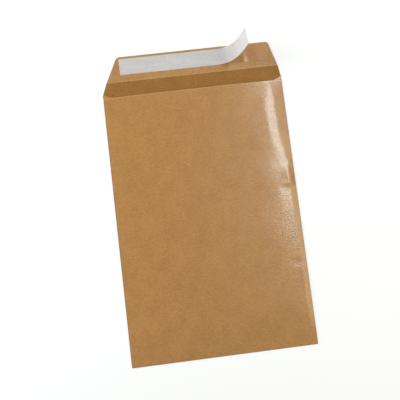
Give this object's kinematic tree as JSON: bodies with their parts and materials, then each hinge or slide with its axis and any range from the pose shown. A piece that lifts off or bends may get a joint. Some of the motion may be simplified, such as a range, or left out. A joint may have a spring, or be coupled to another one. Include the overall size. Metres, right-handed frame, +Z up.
{
  "type": "paper envelope",
  "caption": "Open kraft paper pocket envelope with a peel and seal flap at its short end, the release liner part peeled and curling up.",
  "frame": {"origin": "middle of the envelope's outline, on the surface it lies on", "axes": "+Z up, out of the open side; +Y along the length, from the closed foot to the flap; X across the width"},
  "size_m": [0.229, 0.3864, 0.0566],
  "materials": {
    "kraft": "machine-glazed brown kraft, satin outside and matt inside",
    "liner": "thin white siliconised paper, satin",
    "adhesive": "clear tacky film over the paper",
    "seam_glue": "dried glue line"
  },
  "bodies": {
    "root": {"envelope_sheet": "kraft", "release_liner": "liner", "seal_adhesive": "adhesive", "side_seam_glue_left": "seam_glue", "side_seam_glue_right": "seam_glue"}
  },
  "joints": []
}
